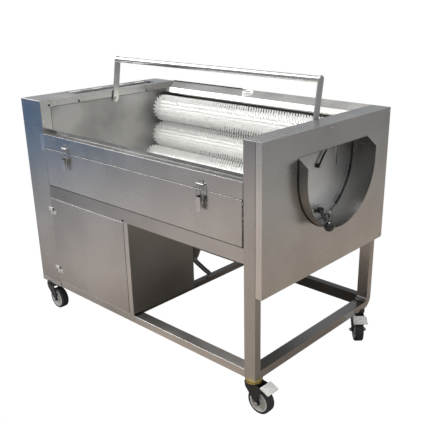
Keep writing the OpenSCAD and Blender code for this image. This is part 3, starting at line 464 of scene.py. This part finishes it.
# Drain hose
hoseSet = {
    "route": [(655, 414, 285.25), (655.2, 416.5, 278), (655.8, 424, 267.5), (656.5, 436, 254), (657.5, 452, 236.5),
              (658.5, 468.5, 218.5), (659.5, 485, 201), (660.5, 500, 186)],
    "radius": 11.0, "bore": 8.0, "boreDeep": 9, "rings": 37, "sides": 28,  # mm, and rings along the path
    "highlightWay": (0.646, -0.644, 0.408), "highlightEdge": 0.63,  # the side that gets the painted highlight, and how far round it
}


# a uniform spline through the route: each stretch is the cubic set by its two ends
# and the slopes between their neighbours
def smoothRoute(route, count):
    p = np.asarray(route, float)
    ends = np.vstack([2 * p[0] - p[1], p, 2 * p[-1] - p[-2]])
    t = np.linspace(0, len(p) - 1, count)
    i = np.minimum(t.astype(int), len(p) - 2)
    u = (t - i)[:, None]
    a, b, c, d = ends[i], ends[i + 1], ends[i + 2], ends[i + 3]
    return b + 0.5 * u * (c - a + u * (2 * a - 5 * b + 4 * c - d + u * (3 * (b - c) + d - a)))


# rings from a point at the start along the outside, back up the bore from the end, and to a point on its floor
def makeHose(s):
    path = smoothRoute(s["route"], s["rings"])
    n, deep = s["rings"], s["boreDeep"]
    outer = carryCircles(path, s["radius"], s["sides"])
    inner = carryCircles(path, s["bore"], s["sides"])
    start, plug = np.repeat(path[:1, None], s["sides"], 1), np.repeat(path[-deep:1 - deep, None], s["sides"], 1)
    rings = np.concatenate([start, outer, inner[::-1][:deep], plug])
    hose = putMesh("drain_hose_skin", toRow(rings), [ringQuads(len(rings), s["sides"])],
                   "cabinet", hoseRubber)
    hose.data.materials.append(scuffedRubber)
    # faces on that side get the painted highlight
    scuffed = np.zeros((len(rings) - 1, s["sides"]), np.int32)
    scuffed[1:n] = ((outer - path[:, None]) / s["radius"] @ np.array(s["highlightWay"]) > s["highlightEdge"])[:-1]
    hose.data.polygons.foreach_set("material_index", scuffed.ravel())
    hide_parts("drain_hose")


makeHose(hoseSet)

# Brush rollers
brushSet = {
    "out": 284.0, "firstAngle": 98.5, "apart": 64.0, "gap": 4.6,  # the arc of the rollers, mm and degrees
    "from": 165.0, "to": 1300.0, "core": 40.0, "tip": 65.4, "drumSides": 48,
    "pitch": 14.6, "spare": 8.0,  # mm from ring to ring of tufts, and left free at the ends
    "rows": 20, "strands": 13, "seed": 40,  # tufts in a ring, and strands in a tuft
    "endRings": [0.62, 1.5],  # extra rings near each end, in pitches from the first ring
    "foot": 1.8, "splay": 2.8, "fan": 1.5,  # mm: tuft radius at its foot and tip; how much wider it opens across
    "thick": 0.75, "taper": 0.8, "inset": 1.0,  # mm: strand radius and its share at the tip, and depth in the core
    "golden": 2.39996, "swirl": 6.28,  # radians from strand to strand in a tuft, and the range of its start
    "turnSpread": 0.003, "leanSpread": 0.5, "wornSpread": 0.6,  # of a turn, and mm
}


# tufts stand in rings and in straight rows, with extra rings between the rows near the ends; in each tuft
# the strands lie on a spiral disc that opens from foot to tip, and each strand is a three-sided rod that
# tapers a little
def makeBrush(k, s):
    dice = np.random.default_rng(s["seed"] + k)
    step = 2 * math.asin((s["apart"] + s["gap"] / 2) / s["out"])
    place = math.radians(s["firstAngle"]) - (k - 1) * step
    midY, midZ = bedMiddle[0] + s["out"] * math.sin(place), bedMiddle[1] - s["out"] * math.cos(place)
    long = s["to"] - s["from"]
    along = int((long - s["spare"]) / s["pitch"]) + 1
    extra = np.array(s["endRings"])
    at = np.concatenate([np.arange(along), extra, along - 1 - extra])
    i, j = np.meshgrid(at, np.arange(s["rows"]), indexing="ij")
    j = j + np.repeat([0, 0.5], [along, 2 * len(extra)])[:, None]
    x = (s["from"] + s["to"]) / 2 + (i - (along - 1) / 2) * s["pitch"]
    turn = 2 * np.pi * (j / s["rows"] + dice.uniform(0, 1) + dice.normal(0, s["turnSpread"], i.shape))
    x, turn = x.ravel()[:, None], turn.ravel()[:, None]
    m = np.arange(s["strands"])[None]
    disc = np.sqrt((m + 0.5) / s["strands"])
    swirl = m * s["golden"] + dice.uniform(0, s["swirl"], x.shape)
    du, dv = disc * np.cos(swirl), disc * np.sin(swirl)
    lean = dice.normal(0, s["leanSpread"], (2, *du.shape))
    reach = s["tip"] - np.abs(dice.normal(0, s["wornSpread"], du.shape))
    footX, tipX = x + du * s["foot"], x + du * s["splay"] + lean[0]
    footA = turn + dv * s["foot"] / s["core"]
    tipA = turn + (dv * s["splay"] * s["fan"] + lean[1]) / s["tip"]
    tipX = np.clip(tipX, s["from"] + s["inset"], s["to"] - s["inset"])
    radius = np.stack([np.full_like(reach, s["core"] - s["inset"]), reach], -1)
    angle, xs = np.stack([footA, tipA], -1), np.stack([footX, tipX], -1)
    corner = np.arange(3) * 2 * np.pi / 3
    wide = s["thick"] * np.array([1.0, s["taper"]])[None, None, :, None]
    cx, ca = wide * np.cos(corner), wide * np.sin(corner)
    ring = angle[..., None] + ca / radius[..., None]
    points = np.stack([xs[..., None] + cx,
                       midY + radius[..., None] * np.sin(ring),
                       midZ + radius[..., None] * np.cos(ring)], -1)
    count = du.size
    first = np.arange(count)[:, None] * 6
    sides = np.concatenate([first + np.array([[a, 3 + a, 3 + (a + 1) % 3, (a + 1) % 3]]) for a in range(3)])
    tips = first + np.array([[3, 5, 4]])
    drum, drumQuads, drumTris = turnedShape([(0, 0), (s["core"], 0), (s["core"], long), (0, long)],
                                            (s["from"], midY, midZ), (1, 0, 0), s["drumSides"])
    verts = np.concatenate([points.reshape(-1, 3), drum])
    brush = putMesh(f"bristle_roller_{k}", toRow(verts),
                    [np.concatenate([sides, drumQuads + count * 6]), np.concatenate([tips, drumTris + count * 6])],
                    f"roller_{k}", nylonBristle, smooth=False)
    brush.data.materials.append(nylonCore)
    onDrum = np.repeat([0, 1, 0, 1], [len(sides), len(drumQuads), len(tips), len(drumTris)])
    brush.data.polygons.foreach_set("material_index", onDrum.astype(np.int32))
    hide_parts(f"brush_{k}")


for k in rollers:
    makeBrush(k, brushSet)
print("bristle rollers made")

# Caster wheels: tyre, moulded centre, pale rim and bright axle nuts
wheelSet = {
    "casters": {"fr": (1345, 25, 0), "fl": (52, 25, 0), "rr": (1345, 735, -47), "rl": (52, 735, -60)},
    "trail": 35.0, "radius": 51.0, "sides": 64, "nutAt": 30.0, "nutSides": 24,
    "tyre": [(39, -17), (44, -18), (48, -17.4), (50.2, -15), (51, -11), (51, 11), (50.2, 15), (48, 17.4), (44, 18),
             (39, 17), (37.5, 12), (37.5, -12)],
    "centre": [(5.05, -20), (12.5, -20), (13.5, -19), (14.5, -12), (30, -11.5), (33, -16), (38.6, -16.6),
               (38.6, 16.6), (33, 16), (30, 11.5), (14.5, 12), (13.5, 19), (12.5, 20), (5.05, 20)],
    "rim": [(35.6, -17.2), (39.3, -17.7), (39.3, 17.7), (35.6, 17.2)],
    "nut": [(0, 0), (7.5, 0), (7.5, 4), (6.2, 5), (4.6, 5.2), (4.2, 7), (0, 7.4)],
    "finish": {"tyre": (treadRubber, "wheel_rubber"), "centre": (greyNylon, "grey_plastic"),
               "rim": (whiteNylon, "grey_plastic")},
}


# each wheel trails its pivot along the caster's turn; its parts are closed profiles turned round the axle
def makeWheels(s):
    for name, (x, y, turn) in s["casters"].items():
        a = math.radians(turn)
        middle = np.array([x + s["trail"] * math.cos(a), y + s["trail"] * math.sin(a), s["radius"]])
        axle = np.array([-math.sin(a), math.cos(a), 0.0])
        for part, (finish, slotName) in s["finish"].items():
            verts, quads = turnedRing(s[part], middle, axle, s["sides"])
            piece = putMesh(f"wheel_{part}_{name}", toRow(verts), [quads], f"wheel_{name}", finish)
            piece.data.set_sharp_from_angle(angle=sharpAngle)
            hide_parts(f"caster_wheel_{name}")
        nuts = [turnedShape(s["nut"], middle + side * axle * s["nutAt"], side * axle, s["nutSides"])
                for side in (1, -1)]
        putShapes(f"axle_nuts_{name}", nuts, f"caster_{name}", brightZinc)


makeWheels(wheelSet)
print("caster wheels made")

# Screws and bolts: each has its place in mm, the way its head looks, its radius and its height
fixingSet = {
    "head": [(0, 0), (1, 0), (1, 0.45), (0.8, 0.9), (0.42, 1), (0.4, 0.35), (0, 0.35)],
    "dome": [(0, 0), (1, 0), (1, 0.3), (0.86, 0.62), (0.6, 0.88), (0.3, 1), (0, 1.02)],
    "sides": 16,
    "groups": {
        "cover_screws": ("head", "cabinet", brightZinc, "zinc_bolt", [
            ((1400, 386, 1007), (1, 0, 0), 5, 3), ((1400, 788, 1010), (1, 0, 0), 5, 3),
            ((1400, 12, 1010), (1, 0, 0), 5, 3), ((1400, 12, 490), (1, 0, 0), 5, 3),
            ((1400, 786, 490), (1, 0, 0), 5, 3), ((727, 790, 1020.6), (0, -0.4, 0.9165), 5, 3)]),
        # dark oiled steel heads on the strip and the lower beam; their dark also paints the shade of the screw recesses
        "strip_screws": ("head", "cabinet", oiledSteel, "dark_steel", [
            ((150, 45, 1002), (1, 0, 0), 5.5, 3), ((150, 203, 1001), (1, 0, 0), 5.5, 3),
            ((150, 610, 1001), (1, 0, 0), 5.5, 3), ((667, 0, 596), (0, -1, 0), 5, 3)]),
        "hinge_screws": ("dome", "cabinet", powderCoat, "black_steel", [
            ((x, -2, z), (0, -1, 0), 2.6, 1.2) for x in (131, 144) for z in (238, 532)]),
        "door_screws": ("dome", "motor_cover", powderCoat, "black_steel", [
            ((x, -2, z), (0, -1, 0), 2.6, 1.2) for x in (166, 179) for z in (223.7, 517.7)]),
        "latch_bolts": ("dome", "outlet_door", brightZinc, "zinc_bolt", [
            ((1334, 381, 686), (1, 0, 0), 6.5, 5), ((1334, 430, 686), (1, 0, 0), 6.5, 5)]),
        "chute_bolt": ("dome", "cabinet", brightZinc, "zinc_bolt", [((1352, 471, 649.5), (0, -0.26, 0.966), 9, 18)]),
        "stay_bolt": ("head", "outlet_door", powderCoat, "black_steel", [((1330, 405, 856), (1, 0, 0), 9, 9)]),
        "stay_nut": ("dome", "outlet_door", brightZinc, "zinc_bolt", [((1330, 418, 848.5), (1, 0, 0), 5, 6)]),
    },
}


# a head's profile of unit size, scaled by the fixing's radius and height and turned round the way it looks
def makeFixings(s):
    for name, (shape, body, finish, slotName, fixings) in s["groups"].items():
        heads = [turnedShape([(r * p, h * q) for p, q in s[shape]], place, way, s["sides"])
                 for place, way, r, h in fixings]
        putShapes(name, heads, body, finish)


makeFixings(fixingSet)
print("screws and bolts made")

# Inlet ring: a white collar that lies on the sloping deflector round the socket
collarSet = {
    "at": (676, 771, 1012.3), "way": (0, -0.4, 0.9165), "sides": 48,
    "ring": [(16.5, -1), (27, -1), (27, 2.5), (25.5, 4), (17.5, 4), (16.5, 3)],
}
collarVerts, collarQuads = turnedRing(collarSet["ring"], collarSet["at"], collarSet["way"], collarSet["sides"])
collar = putMesh("inlet_collar", toRow(collarVerts), [collarQuads], "cabinet", whiteNylon)
collar.data.set_sharp_from_angle(angle=sharpAngle)

# Folded edges: rounded folds along the sheets that catch the light as thin lines
foldSet = {
    "radius": 0.95, "sides": 12, "inset": 0.66,
    # finish, body and edges: ends on the sharp corner, the way inward and, where it differs, the fold's own radius
    "kinds": {
        "bright": (stainlessLong, "cabinet", [
            ((150, 0, 882), (1320, 0, 882), (0, 1, -1)), ((153, 0, 818), (1312, 0, 818), (0, 1, -1)),
            ((0, 0, 157), (150, 0, 157), (0, 1, 0)), ((150, 0, 135), (150, 0, 1025), (-1, 1, 0)),
            ((0, 0, 1025), (150, 0, 1025), (0, 1, -1), 1.6), ((149.6, 0, 1025), (149.6, 800, 1025), (-1, 0, -1)),
            ((1400, 0, 475), (1400, 0, 1025), (-1, 1, 0)), ((1400, 0, 1025), (1400, 800, 1025), (-1, 0, -1)),
            ((1400, 0, 475), (1400, 794, 475), (-1, 0, 1)), ((1320, 2, 167), (150, 2, 167), (0, 1, -1), 2.2),
            ((695, 0, 174), (695, 0, 590), (-1, 1, 0)), ((1370, 0, 135), (1370, 0, 475), (-1, 1, 0)),
            ((1316, 0, 1025), (1400, 0, 1025), (0, 1, -1))]),
        "dull": (stainlessStrip, "cabinet", [((186, 34, 883.2), (1317, 34, 883.2), (0, 0, -1))]),
        "door": (stainlessLong, "motor_cover", [((155, 0, 586), (667, 0, 586), (0, 1, -1))]),
    },
}


# a thin rod along each edge, its middle line set in from the corner by its radius less a third
def makeFolds(s):
    for kind, (finish, body, edges) in s["kinds"].items():
        shapes = []
        for start, end, inward, *own in edges:
            start, end, inward = (np.array(p, float) for p in (start, end, inward))
            radius = own[0] if own else s["radius"]
            length = np.linalg.norm(end - start)
            profile = [(0, 0), (radius, 0), (radius, length), (0, length)]
            inset = radius * s["inset"] / np.abs(inward).max()
            shapes.append(turnedShape(profile, start + inset * inward, end - start, s["sides"]))
        putShapes(f"folded_edges_{kind}", shapes, body, finish)


makeFolds(foldSet)

# Strips of sheet and beads, as boxes between two corners: the dull upstand behind the upper beam, a dark sheet that
# paints the shade there, the welds where the beams meet the drive box and the leg, the sole under the drive box,
# the stops that close the gaps round the motor door, and black sealant beads round the left inner wall, along the
# rear seam and behind the front panel, which also paint the shade in those gaps
stripSet = {
    "splash_strip": (stainlessStrip, "stainless", [((150, 35, 881.5), (1317, 38, 896))]),
    "ground_welds": (stainlessCover, "stainless", [((121, -0.7, 806), (150.5, 0.5, 881))]),
    "leg_welds": (stainlessBeam, "stainless", [((1316.6, -0.2, 590.5), (1320.6, 0.8, 646.5))]),
    "sole_strip": (stainlessMill, "stainless", [((0, -0.5, 135), (150, 0.2, 156))]),
    "door_stops": (stainlessPanel, "stainless", [
        ((150.2, 0.3, 174), (154.7, 1.7, 586)), ((150.2, 0.3, 586.3), (668, 1.7, 589.8))]),
    # black beads that stand for sealant and also paint the shade in the gaps
    "wall_sealant": (hoseRubber, "black_rubber", [
        ((148, 50, 991.8), (149.4, 770, 994)), ((148, 50, 884), (149.4, 52.6, 994)),
        ((152, 796, 1023), (620, 801, 1028)), ((1312.5, 3.2, 648), (1319.8, 5, 820))]),
}
for name, (finish, slotName, boxes) in stripSet.items():
    putShapes(name, [boxShape(a, b) for a, b in boxes], "cabinet", finish, smooth=False)

# Door seal: a thin black rubber lip inside the door's folded edge, with two wider stretches whose black also paints the
# shade in the gap between the door and the chute
sealSet = {
    "high": 215.4, "x": (1333.5, 1336.6), "points": 24,  # mm: the radius of the arc, and its two sides
    "spans": [(9, -58, 0.8), (-12, -25, 2.6), (-45, -57, 2.6)],  # degrees and thickness in mm
}


# an arc of rectangular section: rings of four corner points along it, joined and capped
def makeSeals(s):
    shapes, n = [], s["points"]
    for start, stop, thick in s["spans"]:
        a = np.radians(np.linspace(start, stop, n))[:, None]
        r = s["high"] - np.array([thick, 0, 0, thick])[None]
        x = np.broadcast_to(np.repeat(s["x"], 2)[None], (n, 4))
        verts = np.stack([x, bedMiddle[0] + r * np.cos(a), bedMiddle[1] + r * np.sin(a)], -1).reshape(-1, 3)
        quads = np.concatenate([ringQuads(n, 4), [[3, 2, 1, 0]], 4 * (n - 1) + np.arange(4)[None]])
        shapes.append((verts, quads, noTris))
    putShapes("door_seals", shapes, "outlet_door", hoseRubber, smooth=False)


makeSeals(sealSet)

# Door stay: a short dark rod from the hinge down to the stay bolt
staySet = {
    "points": [(1337, 451, 908), (1337, 433, 890), (1337, 418, 871), (1337, 407, 858)], "radius": 4.0, "sides": 12,
}
stay = rodShape(staySet["points"], staySet["radius"], staySet["sides"])
putShapes("door_stay", [stay], "outlet_door", powderCoat)

# Chute gasket: black rubber cord in the corner between the plate and the chute's outside
gasketSet = {"x": 1401.2, "out": 223.6, "rise": 66.0, "radius": 1.7, "points": 61, "sides": 12}


# straight down from the rise, half a circle under the chute, and straight up again
def makeGasket(s):
    midY, midZ = bedMiddle
    a = np.radians(np.linspace(180, 360, s["points"]))
    y = np.concatenate([[midY - s["out"]], midY + s["out"] * np.cos(a), [midY + s["out"]]])
    z = np.concatenate([[midZ + s["rise"]], midZ + s["out"] * np.sin(a), [midZ + s["rise"]]])
    path = np.stack([np.full_like(y, s["x"]), y, z], -1)
    putShapes("chute_gasket", [rodShape(path, s["radius"], s["sides"])], "cabinet", hoseRubber)


makeGasket(gasketSet)
print("folds, strips, seals, stay and gasket made")

# Stage
stageSet = {
    "reach": 9.0,
    # what the sheets mirror of the floor, from far left to far right: metres and linear colour
    "tints": [(-5.2, (0.13, 0.25, 0.48)), (-3.3, (0.175, 0.24, 0.335)), (-2.95, (0.265, 0.28, 0.31)),
              (-1.85, (0.375, 0.36, 0.365)), (-0.85, (0.455, 0.405, 0.38)), (0.0, (0.36, 0.305, 0.26)),
              (1.4, (0.4, 0.34, 0.29)), (2.2, (0.425, 0.41, 0.395)), (3.0, (0.45, 0.445, 0.44))],
}


# the camera sees plain white paper; mirrored and bounced light sees it in the tones of a room
def makeStage(s):
    material, tree = startMaterial("white paper sweep")
    coords = addNode(tree, "TexCoord").outputs["Object"]
    across = addNode(tree, "SeparateXYZ", {"Vector": coords}).outputs["X"]
    low, high = s["tints"][0][0], s["tints"][-1][0]
    place = addNode(tree, "MapRange", {"Value": across, "From Min": low, "From Max": high})
    tint = addNode(tree, "ValToRGB", {"Fac": place.outputs[0]},
                   stops=[((x - low) / (high - low), colour) for x, colour in s["tints"]])
    paper = addNode(tree, "BsdfDiffuse", {"Color": tint.outputs[0]})
    white = addNode(tree, "Emission", {"Color": (1, 1, 1, 1), "Strength": 1.0})
    seen = addNode(tree, "LightPath").outputs["Is Camera Ray"]
    mixed = addNode(tree, "MixShader", {0: seen, 1: paper.outputs[0], 2: white.outputs[0]})
    addNode(tree, "OutputMaterial", {"Surface": mixed.outputs[0]})
    mesh = bpy.data.meshes.new("floor")
    r = s["reach"]
    mesh.from_pydata([(-r, -r, 0), (r, -r, 0), (r, r, 0), (-r, r, 0)], [], [(0, 1, 2, 3)])
    mesh.materials.append(material)
    floor = bpy.data.objects.new("floor", mesh)
    scene.collection.objects.link(floor)


# Lights
lightSet = {
    # place, aim and size in metres, watts and colour of each soft box
    "boxes": {
        "key": ((-2.8, -1.15, 3.4), (0, 0, 0.8), 3.0, 120, "#ffffff"),
        "top": ((0.1, 0.1, 4.0), (0, 0.1, 0.8), 2.4, 130, "#fffefc"),
    },
    # tones of the sky from the horizon up to overhead
    "sky": [(0.0, (0.36, 0.38, 0.41)), (0.35, (0.44, 0.45, 0.46)), (0.7, (0.62, 0.62, 0.62)), (1.0, (0.7, 0.7, 0.7))],
}


# each soft box looks from its place to its aim; the world is a ramp of tones by height, white to the camera
def makeLights(s):
    for name, (place, aim, size, watts, colour) in s["boxes"].items():
        data = bpy.data.lights.new(name, "AREA")
        data.shape, data.size, data.energy = "DISK", size, watts
        data.color = linear(colour)[:3]
        back = np.array(place, float) - np.array(aim, float)
        back /= np.linalg.norm(back)
        right = np.cross((0, 0, 1.0), back)
        right /= np.linalg.norm(right)
        putInRoom(bpy.data.objects.new(name, data), right, np.cross(back, right), back, place)
    world = bpy.data.worlds.new("studio")
    scene.world = world
    world.use_nodes = True
    tree = world.node_tree
    tree.nodes.clear()
    coords = addNode(tree, "TexCoord").outputs["Generated"]
    height = addNode(tree, "SeparateXYZ", {"Vector": coords}).outputs["Z"]
    tone = addNode(tree, "ValToRGB", {"Fac": height}, stops=s["sky"])
    room = addNode(tree, "Background", {"Color": tone.outputs[0]})
    paper = addNode(tree, "Background", {"Color": (1, 1, 1, 1), "Strength": 1.0})
    seen = addNode(tree, "LightPath").outputs["Is Camera Ray"]
    mixed = addNode(tree, "MixShader", {0: seen, 1: room.outputs[0], 2: paper.outputs[0]})
    addNode(tree, "OutputWorld", {"Surface": mixed.outputs[0]})


makeStage(stageSet)
makeLights(lightSet)
scene.view_settings.view_transform = "Standard"
print("stage and lights made")
